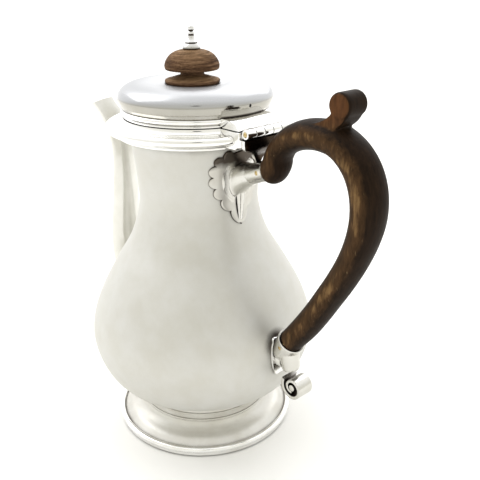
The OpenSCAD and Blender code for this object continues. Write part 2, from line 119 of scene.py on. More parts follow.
# ---- curves ----

def smooth(points, steps):
    """A smooth curve through the points, with steps pieces in each span."""
    p = np.asarray(points, float)
    last = len(p) - 1
    out = []
    for k in range(last * steps + 1):
        i = min(k // steps, last - 1)
        t = k / steps - i
        a, b, c, d = p[max(i - 1, 0)], p[i], p[i + 1], p[min(i + 2, last)]
        out.append(0.5 * (2 * b + (c - a) * t + (2 * a - 5 * b + 4 * c - d) * t ** 2
                          + (3 * b - a - 3 * c + d) * t ** 3))
    return [tuple(q) for q in out]


def arc(centre, radius, start, end, steps=10):
    """Points of an arc from the angle start to the angle end, in degrees."""
    angles = np.radians(np.linspace(start, end, steps + 1))
    return [(centre[0] + radius * math.cos(a), centre[1] + radius * math.sin(a)) for a in angles]


def rounded(points, radius, steps=3, closed=True):
    """The same outline with its corners rounded off."""
    p = [np.asarray(q, float) for q in points]
    n = len(p)
    out = []
    for i in range(n):
        if not closed and i in (0, n - 1):
            out.append(tuple(p[i]))
            continue
        before, here, after = p[i - 1], p[i], p[(i + 1) % n]
        reach = min(radius, np.linalg.norm(before - here) / 2.1, np.linalg.norm(after - here) / 2.1)
        a = here + (before - here) / max(np.linalg.norm(before - here), 1e-9) * reach
        b = here + (after - here) / max(np.linalg.norm(after - here), 1e-9) * reach
        for k in range(steps + 1):
            t = k / steps
            out.append(tuple((1 - t) ** 2 * a + 2 * t * (1 - t) * here + t ** 2 * b))
    return out


# ---- meshes ----

def piece(name, verts, faces, material, body, nodes=(), slot="silver", sharp=32.0):
    """A mesh from points in millimetres that rides on a body and stands for the nodes."""
    mesh = bpy.data.meshes.new(name)
    mesh.from_pydata([tuple(c * MM for c in v) for v in verts], [], faces)
    work = bmesh.new()
    work.from_mesh(mesh)
    bmesh.ops.remove_doubles(work, verts=work.verts, dist=1e-6)
    bmesh.ops.recalc_face_normals(work, faces=work.faces)
    work.to_mesh(mesh)
    work.free()
    obj = bpy.data.objects.new(name, mesh)
    bpy.context.scene.collection.objects.link(obj)
    finish_piece(obj, material, body, nodes, sharp)
    return obj


def finish_piece(obj, material, body, nodes, sharp):
    obj.data.materials.clear()
    obj.data.materials.append(material)
    obj.data.shade_smooth()
    obj.data.set_sharp_from_angle(angle=math.radians(sharp))
    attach(obj, body)
    if nodes:
        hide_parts(*nodes)


def grid_faces(rows, columns, wrap_rows=False, wrap_columns=True):
    """Quads over a grid of points stored row by row."""
    faces = []
    for i in range(rows if wrap_rows else rows - 1):
        for k in range(columns if wrap_columns else columns - 1):
            a = i * columns + k
            b = i * columns + (k + 1) % columns
            c = ((i + 1) % rows) * columns + (k + 1) % columns
            d = ((i + 1) % rows) * columns + k
            faces.append((a, b, c, d))
    return faces


def lathe_mesh(profile, segments=224, notch=None):
    """Points and faces of a turned form; a notch leaves the stretch |y| < notch at +X open."""
    closed = profile[0][0] > 1e-6
    verts = []
    if notch is None:
        for r, z in profile:
            for k in range(segments):
                a = 2 * math.pi * k / segments
                verts.append((r * math.cos(a), r * math.sin(a), z))
        return verts, grid_faces(len(profile), segments, wrap_rows=closed)
    for r, z in profile:
        gap = math.asin(min(notch / r, 1.0))
        for a in np.linspace(gap, 2 * math.pi - gap, segments + 1):
            verts.append((r * math.cos(a), r * math.sin(a), z))
    faces = grid_faces(len(profile), segments + 1, wrap_rows=closed, wrap_columns=False)
    ends = [i * (segments + 1) for i in range(len(profile))]
    faces.append(tuple(ends))
    faces.append(tuple(e + segments for e in reversed(ends)))
    return verts, faces


def lathe(name, profile, material, body, nodes=(), slot="silver", notch=None, segments=224, sharp=32.0):
    verts, faces = lathe_mesh(profile, segments, notch)
    return piece(name, verts, faces, material, body, nodes, slot, sharp)


def placed(verts, matrix):
    return [tuple(matrix @ Vector(v)) for v in verts]


def tilted_frame(x, z, angle):
    """Puts a turned form's axis at angle from +Z towards +X, with its origin at x, z."""
    return Matrix.Translation((x, 0, z)) @ Matrix.Rotation(angle, 4, "Y")


def skin_mesh(rings, capped=True):
    """Points and faces over rings that all have the same number of points."""
    verts = [p for ring in rings for p in ring]
    faces = grid_faces(len(rings), len(rings[0]))
    if capped:
        faces.append(tuple(reversed(range(len(rings[0])))))
        faces.append(tuple(range(len(verts) - len(rings[0]), len(verts))))
    return verts, faces


def merged(parts):
    """Several lists of points and faces as one."""
    verts, faces = [], []
    for v, f in parts:
        faces += [tuple(i + len(verts) for i in face) for face in f]
        verts += v
    return verts, faces


def bar_mesh(outline, half, inner=None, stations=15, soften=0.35):
    """A bar along Y; points of the outline left of ROUND_SIDE_X follow the round wall inner(z)."""
    base = rounded(outline, soften)
    ys = [-half, -half + 0.12, -half + 0.35]
    ys = ys + list(np.linspace(-half + 1, half - 1, stations)) + [-y for y in reversed(ys)]
    centre = np.mean(base, axis=0)
    rings = []
    for y in ys:
        edge = half - abs(y)
        pull = 0.35 * (1 - min(edge / 0.35, 1.0)) ** 2
        ring = []
        for x, z in base:
            away = np.array([x, z]) - centre
            q = np.array([x, z]) - away / max(np.linalg.norm(away), 1e-9) * pull
            if inner and x < ROUND_SIDE_X:
                q[0] = math.sqrt(inner(q[1]) ** 2 - y * y)
            ring.append((q[0], y, q[1]))
        rings.append(ring)
    return skin_mesh(rings)


def turned_bar(outline, centre_x, centre_z, y0):
    """A turned form about an axis along Y; the outline gives radius and distance from y0."""
    verts, faces = lathe_mesh(outline, 64)
    turn = Matrix.Translation((centre_x, y0, centre_z)) @ Matrix.Rotation(math.radians(-90), 4, "X")
    return placed(verts, turn), faces


def remeshed(obj, voxel_mm, smoothing):
    """Fuses overlapping closed forms into one carved or cast surface."""
    bpy.context.view_layer.objects.active = obj
    remesh = obj.modifiers.new("fuse", "REMESH")
    remesh.mode = "VOXEL"
    remesh.voxel_size = voxel_mm * MM
    soften = obj.modifiers.new("soften", "SMOOTH")
    soften.factor = 0.5
    soften.iterations = smoothing
    depsgraph = bpy.context.evaluated_depsgraph_get()
    mesh = bpy.data.meshes.new_from_object(obj.evaluated_get(depsgraph))
    obj.modifiers.clear()
    obj.data = mesh


# ---- materials ----

class Nodes:
    """Short names for building a material's node tree."""

    def __init__(self, name):
        self.material = bpy.data.materials.new(name)
        self.material.use_nodes = True
        self.tree = self.material.node_tree
        self.shader = self.tree.nodes["Principled BSDF"]

    def add(self, kind, inputs=None, **settings):
        node = self.tree.nodes.new(kind)
        for key, value in settings.items():
            setattr(node, key, value)
        for key, value in (inputs or {}).items():
            if isinstance(value, bpy.types.NodeSocket):
                self.tree.links.new(value, node.inputs[key])
            else:
                node.inputs[key].default_value = value
        return node

    def place(self, scale=(1, 1, 1), turn=(0, 0, 0)):
        where = self.add("ShaderNodeTexCoord")
        return self.add("ShaderNodeMapping", {"Vector": where.outputs["Object"], "Scale": scale,
                                              "Rotation": turn}).outputs["Vector"]

    def along(self, axis, vector=None):
        """One coordinate of a point of the object, or of the vector given."""
        if vector is None:
            vector = self.place()
        return self.add("ShaderNodeSeparateXYZ", {"Vector": vector}).outputs[axis]

    def facing(self, axis):
        """One coordinate of the surface's own direction."""
        return self.along(axis, self.add("ShaderNodeNewGeometry").outputs["Normal"])

    def noise(self, vector, scale, detail=3.0, roughness=0.55, distortion=0.0):
        node = self.add("ShaderNodeTexNoise", {"Vector": vector, "Scale": scale, "Detail": detail,
                                               "Roughness": roughness, "Distortion": distortion})
        return node.outputs["Fac"]

    def spread(self, value, low, high, to_low=0.0, to_high=1.0):
        return self.add("ShaderNodeMapRange", {"Value": value, "From Min": low, "From Max": high,
                                               "To Min": to_low, "To Max": to_high}).outputs["Result"]

    def ramp(self, value, stops):
        node = self.add("ShaderNodeValToRGB", {"Fac": value})
        band = node.color_ramp
        while len(band.elements) < len(stops):
            band.elements.new(0.5)
        for element, (position, colour) in zip(band.elements, stops):
            element.position = position
            element.color = (*colour, 1)
        return node.outputs["Color"]

    def blend(self, factor, a, b):
        node = self.add("ShaderNodeMix", data_type="RGBA")
        for socket, value in (("Factor", factor), ("A", a), ("B", b)):
            target = [s for s in node.inputs if s.name == socket and s.type in ("RGBA", "VALUE")]
            target = target[0] if socket == "Factor" else [s for s in target if s.type == "RGBA"][0]
            if isinstance(value, bpy.types.NodeSocket):
                self.tree.links.new(value, target)
            else:
                target.default_value = value if socket == "Factor" else (*value, 1)
        return [s for s in node.outputs if s.type == "RGBA"][0]

    def maths(self, operation, a, b=0.0):
        node = self.add("ShaderNodeMath", operation=operation)
        for socket, value in zip(node.inputs, (a, b)):
            if isinstance(value, bpy.types.NodeSocket):
                self.tree.links.new(value, socket)
            else:
                socket.default_value = value
        return node.outputs["Value"]

    def bump(self, height, distance, strength=1.0, below=None):
        inputs = {"Height": height, "Distance": distance, "Strength": strength}
        if below is not None:
            inputs["Normal"] = below
        return self.add("ShaderNodeBump", inputs).outputs["Normal"]

    def surface(self, **sockets):
        for name, value in sockets.items():
            socket = self.shader.inputs[name.replace("_", " ")]
            if isinstance(value, bpy.types.NodeSocket):
                self.tree.links.new(value, socket)
            else:
                socket.default_value = value
        return self.material


# Tarnish colour, also used as painted shade in corners, seams, grooves and on the plate and strap.
TARNISH_AND_SHADE = (0.050, 0.036, 0.025)


def crown_change(n, tone, rough, crown_rough, crown_tone, roughness):
    """The lid's crown is a rougher, whiter metal than its band."""
    height = n.along("Z")
    above = n.spread(height, (SHOULDER_Z - 0.3) * MM, (SHOULDER_Z + 1.2) * MM)
    top = n.spread(height, (SHOULDER_Z + 1) * MM, (DOME_Z + 0.5) * MM)
    rough = n.maths("ADD", rough, n.maths("MULTIPLY", top, crown_rough - roughness))
    return n.blend(above, tone, crown_tone), rough


def strap_face_shade(n, tone):
    """Painted shade on every face except the two sawn edges, which face sideways and stay bright."""
    edge = n.maths("ABSOLUTE", n.facing("Y"))
    return n.blend(n.spread(edge, 0.25, 0.6), TARNISH_AND_SHADE, tone)


def groove_tarnish_and_shade(n, tone, z, half):
    """A band of tarnish and painted shade round a turned piece, at height z."""
    away = n.maths("ABSOLUTE", n.maths("SUBTRACT", n.along("Z"), z * MM))
    return n.blend(n.spread(away, half * 0.7 * MM, half * 1.5 * MM), TARNISH_AND_SHADE, tone)


def plate_edge_and_collar_shade(n, tone, cloud):
    """Painted shade on the sawn edge, which stands square to the neck, and painted shade with tarnish on the
    top under the collar.
    """
    outward = n.maths("ADD", n.maths("MULTIPLY", n.along("X"), n.facing("X")),
                      n.maths("MULTIPLY", n.along("Y"), n.facing("Y")))
    tone = n.blend(n.spread(outward, 0.40 * NECK_R * MM, 0.75 * NECK_R * MM), TARNISH_AND_SHADE, tone)
    ragged = n.maths("MULTIPLY", n.maths("SUBTRACT", cloud, 0.5), 12 * MM)
    height = n.maths("ADD", n.along("Z"), ragged)
    return n.blend(n.spread(height, 168.8 * MM, 173.5 * MM, 0.0, 0.93), tone, TARNISH_AND_SHADE)


def silver(name, roughness, waviness, tones, reach, seams, metallic=1.0, crown=None, plate=False,
           grooves=(), strap=False):
    """Silver: slow hammered unevenness, fine wear marks and clouds of dulling between two tones.

    Corners and seams within reach mm are darkened with tarnish and painted shade, over the openness
    range seams. crown is the roughness and tone of the lid's crown. grooves are heights and half
    widths in mm of bands of tarnish and painted shade. plate and strap ask for those pieces' own
    painted shade."""
    pale, dull = tones
    n = Nodes(name)
    where = n.place()
    slow = n.noise(where, 38.0, 2.0)
    cloud = n.noise(where, 62.0, 4.0, 0.6)
    scratches = n.noise(n.place((1, 1, 0.08), (0.5, 0.3, 0.2)), 2600.0, 3.0, 0.7)
    scuffs = n.noise(n.place((0.15, 1, 1), (0.2, 0.9, 0.4)), 1500.0, 2.0, 0.6)
    fine = n.maths("ADD", scratches, scuffs)
    tone = n.ramp(cloud, [(0.34, dull), (0.66, pale)])
    rough = n.spread(n.maths("ADD", cloud, n.maths("MULTIPLY", fine, 0.5)), 0.6, 1.4,
                     roughness * 0.8, roughness * 1.25)
    if crown:
        tone, rough = crown_change(n, tone, rough, *crown, roughness)
    openness = n.add("ShaderNodeAmbientOcclusion", {"Distance": reach * MM}, samples=12).outputs["AO"]
    uneven = n.maths("MULTIPLY", n.maths("SUBTRACT", cloud, 0.5), 0.25)
    # Painted shade: AO darkens corners and seams towards the tarnish colour, standing for shade and dark
    # reflections as well as tarnish.
    tone = n.blend(n.spread(n.maths("ADD", openness, uneven), *seams), TARNISH_AND_SHADE, tone)
    if strap:
        tone = strap_face_shade(n, tone)
    for z, half in grooves:
        tone = groove_tarnish_and_shade(n, tone, z, half)
    if plate:
        tone = plate_edge_and_collar_shade(n, tone, cloud)
    normal = n.bump(slow, waviness)
    normal = n.bump(fine, 0.000004, 0.35, below=normal)
    return n.surface(Base_Color=tone, Metallic=metallic, Roughness=rough, Normal=normal)


def brass(name):
    """Dull brass with darker spots."""
    n = Nodes(name)
    spots = n.noise(n.place(), 900.0, 4.0, 0.6)
    tone = n.ramp(spots, [(0.32, (0.36, 0.25, 0.10)), (0.68, (0.74, 0.59, 0.30))])
    rough = n.spread(spots, 0.3, 0.7, 0.42, 0.24)
    return n.surface(Base_Color=tone, Metallic=1.0, Roughness=rough, Normal=n.bump(spots, 0.00003, 0.5))


def handle_wood(name):
    """Old dark fruitwood: grain along the handle, worn to a golden brown where hands rub it, with painted
    shade on the faces towards +X and a painted highlight where the sides are most rubbed.
    """
    n = Nodes(name)
    lean = (0, 0.35, 0)
    streaks = n.noise(n.place((1.0, 1.6, 0.22), lean), 420.0, 5.0, 0.62, 0.25)
    pores = n.noise(n.place((1, 1, 0.10), lean), 1500.0, 3.0, 0.6)
    scratches = n.noise(n.place((1.0, 0.5, 0.035), lean), 1300.0, 2.0, 0.7)
    patches = n.noise(n.place(), 46.0, 3.0, 0.6)
    dark = n.ramp(streaks, [(0.30, (0.009, 0.005, 0.0027)), (0.72, (0.023, 0.0125, 0.0065))])
    brown = n.ramp(streaks, [(0.30, (0.042, 0.022, 0.009)), (0.74, (0.086, 0.045, 0.019))])
    golden = n.ramp(streaks, [(0.28, (0.100, 0.056, 0.023)), (0.75, (0.225, 0.134, 0.056))])
    reddish = n.ramp(streaks, [(0.28, (0.055, 0.021, 0.008)), (0.75, (0.118, 0.050, 0.019))])
    # Wear and painted light: faces towards ±Y count as rubbed and turn lighter; faces towards +X get painted
    # shade.
    facing = n.maths("SUBTRACT", n.maths("ABSOLUTE", n.facing("Y")),
                     n.maths("MULTIPLY", n.facing("X"), 0.12))
    uneven = n.maths("MULTIPLY", n.maths("SUBTRACT", patches, 0.5), 0.42)
    fibres = n.maths("MULTIPLY", n.maths("SUBTRACT", streaks, 0.5), 0.38)
    wear_and_light = n.maths("ADD", facing, n.maths("ADD", uneven, fibres))
    rubbed_and_lit = n.spread(wear_and_light, 0.58, 1.04)
    # Painted highlight with wear: the most rubbed parts of the sides turn golden.
    ridge_highlight = n.spread(wear_and_light, 0.99, 1.10, 0.0, 0.9)
    scored = n.maths("MULTIPLY", n.spread(scratches, 0.67, 0.75, 0.0, 0.5), n.spread(facing, 0.45, 0.8))
    tone = n.blend(ridge_highlight, n.blend(rubbed_and_lit, dark, brown), golden)
    tone = n.blend(scored, tone, (0.26, 0.18, 0.09))
    roll = n.maths("MULTIPLY", n.spread(n.along("Z"), 199 * MM, 206 * MM), rubbed_and_lit)
    tone = n.blend(roll, tone, reddish)
    rough = n.spread(patches, 0.3, 0.7, 0.44, 0.58)
    normal = n.bump(n.maths("ADD", n.maths("MULTIPLY", streaks, 0.6), pores), 0.00006, 0.55)
    return n.surface(Base_Color=tone, Roughness=rough, Normal=normal, Specular_IOR_Level=0.06)


def knob_wood(name):
    """Turned fruitwood with the cutter's rings running round it, paler where it faces upwards as painted
    light.
    """
    n = Nodes(name)
    rings = n.noise(n.place((0.06, 0.06, 1.0)), 1100.0, 4.0, 0.65)
    grain = n.noise(n.place((1.0, 0.25, 1.4), (0, 0, 0.5)), 900.0, 4.0, 0.6, 0.2)
    mixed = n.maths("ADD", n.maths("MULTIPLY", rings, 0.72), n.maths("MULTIPLY", grain, 0.28))
    tone = n.ramp(mixed, [(0.36, (0.035, 0.018, 0.010)), (0.50, (0.105, 0.056, 0.030)),
                          (0.64, (0.235, 0.140, 0.078))])
    painted_top_light = n.ramp(mixed, [(0.36, (0.13, 0.075, 0.036)), (0.64, (0.42, 0.26, 0.14))])
    # Painted light: faces that turn upwards blend towards a paler copy of the wood.
    tone = n.blend(n.spread(n.facing("Z"), 0.48, 0.98, 0.0, 0.75), tone, painted_top_light)
    rough = n.spread(mixed, 0.3, 0.7, 0.72, 0.58)
    return n.surface(Base_Color=tone, Roughness=rough, Normal=n.bump(mixed, 0.0003, 0.9),
                     Specular_IOR_Level=0.06)


def vent_painted_shade(name):
    """Painted shade: the blackness that stands for the inside of the vent hole."""
    n = Nodes(name)
    hole_shade = n.ramp(n.noise(n.place(), 2000.0), [(0.3, (0.004, 0.004, 0.003)), (0.7, (0.012, 0.010, 0.008))])
    return n.surface(Base_Color=hole_shade, Roughness=0.8)


# Each pair of tones is the pale metal and the dulled metal
SATIN = ((0.65, 0.645, 0.615), (0.60, 0.59, 0.545))
FOOT_TONES = ((0.72, 0.71, 0.67), (0.63, 0.61, 0.555))
BAND = ((0.46, 0.445, 0.405), (0.41, 0.395, 0.35))
CROWN_TONE = (0.475, 0.48, 0.49)
POLISH = ((0.955, 0.955, 0.95), (0.86, 0.85, 0.82))
FINIAL_TONES = ((0.80, 0.80, 0.80), (0.66, 0.65, 0.62))
PLATE_TONES = ((0.64, 0.63, 0.59), (0.54, 0.52, 0.47))
CAST_TONES = ((0.70, 0.69, 0.655), (0.61, 0.595, 0.54))
SPOUT_TONES = ((0.74, 0.73, 0.69), (0.66, 0.65, 0.60))
# Heights and half widths of the finial's bands of tarnish and painted shade.
FINIAL_GROOVES = [(FINIAL_Z + 0.2, 0.35), (FINIAL_Z + 3.3, 0.3), (FINIAL_Z + 7.3, 0.4),
                  (FINIAL_Z + 9.7, 0.35)]

SILVER = silver("body_silver", 0.50, 0.0005, SATIN, 6.0, (0.44, 0.90), metallic=0.6)
FOOT_SILVER = silver("foot_silver", 0.36, 0.0005, FOOT_TONES, 4.0, (0.30, 0.84), metallic=0.72)
LID_SILVER = silver("lid_silver", 0.12, 0.0003, BAND, 1.5, (0.30, 0.80), crown=(0.42, CROWN_TONE))
BRIGHT = silver("turned_silver", 0.10, 0.0003, POLISH, 1.5, (0.26, 0.80))
FINIAL_SILVER = silver("finial_silver", 0.10, 0.0002, FINIAL_TONES, 7.0, (0.50, 0.95), grooves=FINIAL_GROOVES)
PLATE_SILVER = silver("plate_silver", 0.34, 0.0003, PLATE_TONES, 8.0, (0.40, 0.80), plate=True)
STRAP_SILVER = silver("strap_silver", 0.22, 0.0003, POLISH, 3.0, (0.10, 0.50), strap=True)
CAST = silver("cast_silver", 0.24, 0.0003, CAST_TONES, 9.0, (0.34, 0.80))
SPOUT_SILVER = silver("spout_silver", 0.22, 0.0004, SPOUT_TONES, 5.0, (0.36, 0.84))
VENT_SHADE = vent_painted_shade("vent_painted_shade")
BRASS = brass("dull_brass")
HANDLE_WOOD = handle_wood("handle_fruitwood")
KNOB_WOOD = knob_wood("knob_fruitwood")


# ---- body and foot ----

BODY_LINE = smooth([
    (FOOT_NECK_R, FOOT_TOP_Z), (49.5, 28.9), (57.6, 35.1), (BELLY_R - 3.4, 46), (BELLY_R, BELLY_Z),
    (BELLY_R - 1.6, 74), (59.7, 89.6), (50.3, 106.4), (40.4, 123.2), (NECK_R + 0.5, 140), (NECK_R, 153),
    (NECK_R + 1.9, 173.6), (RIM_R, 185)], 12)


def body_radius(z):
    """Radius of the body's outer surface at height z."""
    return float(np.interp(z, [p[1] for p in BODY_LINE], [p[0] for p in BODY_LINE]))


def pushed_out(verts, offset):
    """Moves points on the handle's side that lie inside the body out to its surface."""
    out = []
    for x, y, z in verts:
        r = math.hypot(x, y)
        limit = body_radius(z) + offset
        if r < limit and x > 0:
            x, y = x * limit / r, y * limit / r
        out.append((x, y, z))
    return out


def make_body():
    inner = [(r - WALL, z) for r, z in reversed(BODY_LINE) if z > FOOT_TOP_Z + 3]
    outline = (
        [(0, FOOT_TOP_Z), (FOOT_NECK_R - 1.5, FOOT_TOP_Z)] + BODY_LINE
        + [(RIM_R, RIM_Z - 0.2), (RIM_R - 0.2, RIM_Z), (RIM_R - WALL + 0.2, RIM_Z)]
        + [(RIM_R - WALL, RIM_Z - 0.2)] + inner
        + [(FOOT_NECK_R - 1, FOOT_TOP_Z + WALL), (0, FOOT_TOP_Z + WALL)])
    lathe("body_shell", outline, SILVER, "pot", ["body"], sharp=40)


def make_foot():
    hollow_r = FOOT_NECK_R - 3.5
    neck_low = FOOT_TOP_Z - 9
    outline = (
        [(hollow_r, FOOT_TOP_Z - 0.3), (hollow_r + 0.3, FOOT_TOP_Z), (FOOT_NECK_R - 0.2, FOOT_TOP_Z),
         (FOOT_NECK_R, FOOT_TOP_Z - 0.3)]
        + arc((FOOT_NECK_R, FOOT_TOP_Z - 5), 0.6, 90, -90, 10)
        + arc((FOOT_NECK_R, neck_low - 0.2), 0.7, 90, -60, 10)
        + smooth([(FOOT_NECK_R + 0.8, neck_low - 1.4), (FOOT_NECK_R + 2, neck_low - 3.4),
                  (FOOT_NECK_R + 4.6, neck_low - 5.4), (FOOT_NECK_R + 8.2, neck_low - 7.3),
                  (VALLEY_R - 1.5, VALLEY_Z + 1.4), (VALLEY_R, VALLEY_Z)], 8)
        + [(VALLEY_R - 1.3, VALLEY_Z - 1.4), (VALLEY_R - 2.7, VALLEY_Z - 2.4),
           (VALLEY_R - 4.2, VALLEY_Z - 0.6), (FOOT_NECK_R + 4.4, neck_low - 8.2),
           (FOOT_NECK_R + 1, neck_low - 6.1),
           (FOOT_NECK_R - 2, neck_low - 3), (hollow_r, neck_low + 0.5)])
    lathe("foot_spread", outline, FOOT_SILVER, "pot", ["foot"], sharp=50)
    wire = (
        [(VALLEY_R - 2.9, 0), (VALLEY_R - 2.7, VALLEY_Z - 2.4), (VALLEY_R - 1.3, VALLEY_Z - 1.4),
         (VALLEY_R, VALLEY_Z), (VALLEY_R + 0.5, VALLEY_Z + 1)]
        + arc((FOOT_R - 1.8, VALLEY_Z), 1.8, 125, -50, 18)
        + [(FOOT_R - 0.9, 2.4), (FOOT_R - 1, 1.7), (FOOT_R - 1.4, 0.7), (FOOT_R - 1.7, 0.2)]
        + [(FOOT_R - 2.1, 0)])
    lathe("foot_edge", wire, BRIGHT, "pot", ["foot_wire"])


# ---- mouldings round the mouth ----

def make_collar():
    outline = (
        [(RIM_R - 0.4, 181.2), (RIM_R + 4.4, 182.0)]
        + arc((RIM_R + 5, 183), 0.9, -90, 60, 8)
        + [(RIM_R + 5.4, 184.4)]
        + arc((RIM_R + 8.4, 185.4), 0.9, -90, 20, 7)
        + arc((RIM_R + 9.7, 187.6), 2.4, -70, 110, 18)
        + [(RIM_R + 6.8, 189.2), (RIM_R + 6.3, 189.3)]
        + arc((RIM_R + 6.2, RIM_Z + 0.66), 3.8, 265, 190, 12)
        + [(RIM_R + 0.02, RIM_Z), (RIM_R + 0.02, 186)])
    lathe("collar_moulding", outline, BRIGHT, "pot", ["collar"], notch=LEAF_HALF)


# ---- lid, knob and fastening ----

def crown_line(shift, steps):
    """Line of the crown from the widest line to the middle, moved by shift along R and Z."""
    line = smooth([
        (LID_R, SHOULDER_Z), (LID_R - 0.5, SHOULDER_Z + 2), (LID_R - 1.9, SHOULDER_Z + 4),
        (LID_R - 4.1, SHOULDER_Z + 5.7), (LID_R - 7.1, DOME_Z + CROWN_DISH - 0.8),
        (LID_R - 10.6, DOME_Z + CROWN_DISH - 0.1), (LID_R - 15, DOME_Z + CROWN_DISH),
        (LID_R - 22, DOME_Z + CROWN_DISH * 0.6), (LID_R - 28, DOME_Z + CROWN_DISH * 0.15),
        (0, DOME_Z)], steps)
    return [(max(r + shift[0] * min(r / LID_R, 1), 0), z + shift[1]) for r, z in line]


def make_lid():
    band = [(RIM_R + 0.2, SEAT_Z), (RIM_R + 2.4, SEAT_Z + 4.5), (LID_R - 0.3, SHOULDER_Z - 1.8)]
    outline = (list(reversed(band + crown_line((0, 0), 10)))
               + [(RIM_R + 0.2 - WALL, SEAT_Z), (RIM_R + 2.4 - WALL, SEAT_Z + 4.5)]
               + crown_line((-WALL, -WALL), 6))
    lathe("lid_dome", outline, LID_SILVER, "lid", ["lid"], sharp=38)
    vent_hole()
    wire = (
        [(RIM_R + 0.25, SEAT_Z), (RIM_R + 1.2, SEAT_Z - 0.38)]
        + arc((RIM_R + 1.4, SEAT_Z + 0.42), 0.8, -80, 30, 8)
        + arc((RIM_R + 1.9, SEAT_Z + 2.9), 1.5, -60, 80, 12)
        + [(RIM_R + 2.35, SEAT_Z + 4.6)])
    lathe("lid_moulding", wire, BRIGHT, "lid", ["lid_wire"], notch=LEAF_HALF)
    flange_r = RIM_R - WALL - 0.8
    flange = rounded([(flange_r - 1, SEAT_Z - 6), (flange_r - 0.2, SEAT_Z - 6), (flange_r, SEAT_Z - 5),
                      (flange_r, SEAT_Z + 0.6), (RIM_R - 0.9, SEAT_Z + 0.6), (RIM_R - 0.5, SEAT_Z + 1.5),
                      (flange_r - 1, SEAT_Z + 1.5)], 0.3)
    lathe("lid_locating_ring", flange, SILVER, "lid", ["lid_flange"])


def vent_hole():
    """A dark disc of painted shade at the mouth of the tiny air hole in the lid's band."""
    z = SHOULDER_Z - 0.4
    turn = math.radians(1)
    verts, faces = lathe_mesh([(0.0, -0.4), (0.85, -0.4), (0.85, -0.02), (0.75, 0.06), (0.0, 0.06)], 32)
    place = (Matrix.Rotation(turn, 4, "Z") @ Matrix.Translation((LID_R - 0.03, 0, z))
             @ Matrix.Rotation(math.pi / 2, 4, "Y"))
    piece("lid_vent", placed(verts, place), faces, VENT_SHADE, "lid", [], "silver")


def make_knob():
    base_z = DOME_Z - 0.35
    x, y = KNOB_PLACE
    outline = (
        [(0, 0), (KNOB_R - 0.8, 0)]
        + arc((KNOB_R - 0.9, 1.8), 1.0, -60, 70, 10)
        + smooth([(KNOB_R - 1.2, 2.9), (KNOB_R - 3.4, 3.5), (KNOB_R - 6, 4.3), (6.9, 5.0), (6.5, 5.9)], 8)
        + [(6.5, 7.9), (KNOB_R - 1.3, 7.7)]
        + arc((KNOB_R - 1.4, 9.0), 1.3, -70, 0, 10)
        + smooth([(KNOB_R, 10.1), (KNOB_R - 0.5, 12), (KNOB_R - 1.8, 14.2), (KNOB_R - 3.7, 16.1),
                  (KNOB_R - 6.4, 17.5), (KNOB_R - 9.8, KNOB_H - 0.2), (0, KNOB_H)], 8))
    verts, faces = lathe_mesh(outline)
    piece("knob_turned", placed(verts, Matrix.Translation((x, y, base_z))), faces, KNOB_WOOD, "lid", ["knob"],
          "knob_wood")
    tip = (
        [(0, 0), (4.7, 0), (4.8, 0.3)]
        + smooth([(4.8, 0.5), (4.65, 1.2), (4.2, 2.0), (3.7, 2.7)], 4)
        + [(3.3, 3.0), (3.3, 3.3)]
        + smooth([(3.6, 3.7), (2.6, 4.7), (2.0, 5.8), (1.7, 6.9)], 5)
        + arc((0.95, 8.2), 1.0, -60, 60, 10)
        + arc((0, 10.7), 1.9, -48, 90, 14))
    stud = [(1.8, 0), (1.8, -KNOB_H - 6.4), (1.5, -KNOB_H - 6.8), (0, -KNOB_H - 6.8)]
    verts, faces = lathe_mesh([(max(r, 0), z) for r, z in list(reversed(stud)) + tip[1:]], 96)
    piece("finial_and_stud", placed(verts, Matrix.Translation((x, y, base_z + KNOB_H + 0.02))), faces,
          FINIAL_SILVER, "lid", ["finial"])


# ---- hinge ----

def knuckle_set(first, web_low, web_high):
    """Every second knuckle from the first, each with the web that joins it to its block."""
    parts = []
    pitch = HINGE_LEN / KNUCKLES
    for k in range(first, KNUCKLES, 2):
        y0 = ROW_START + k * pitch + (0 if k == 0 else KNUCKLE_GAP / 2)
        y1 = ROW_START + (k + 1) * pitch - (0 if k == KNUCKLES - 1 else KNUCKLE_GAP / 2)
        length = y1 - y0
        bore = PIN_R + 0.02
        ring = rounded([(bore, 0), (KNUCKLE_R, 0), (KNUCKLE_R, length), (bore, length)], 0.25)
        parts.append(turned_bar(ring, HINGE_X, HINGE_Z, y0))
        web = [(LEAF_EDGE_X - 1, web_low), (HINGE_X - 1.9, web_low), (HINGE_X - 1.9, web_high),
               (LEAF_EDGE_X - 1, web_high)]
        verts, faces = bar_mesh(web, length / 2, stations=3, soften=0.15)
        middle = (y0 + y1) / 2
        parts.append(([(x, y + middle, z) for x, y, z in verts], faces))
    return parts


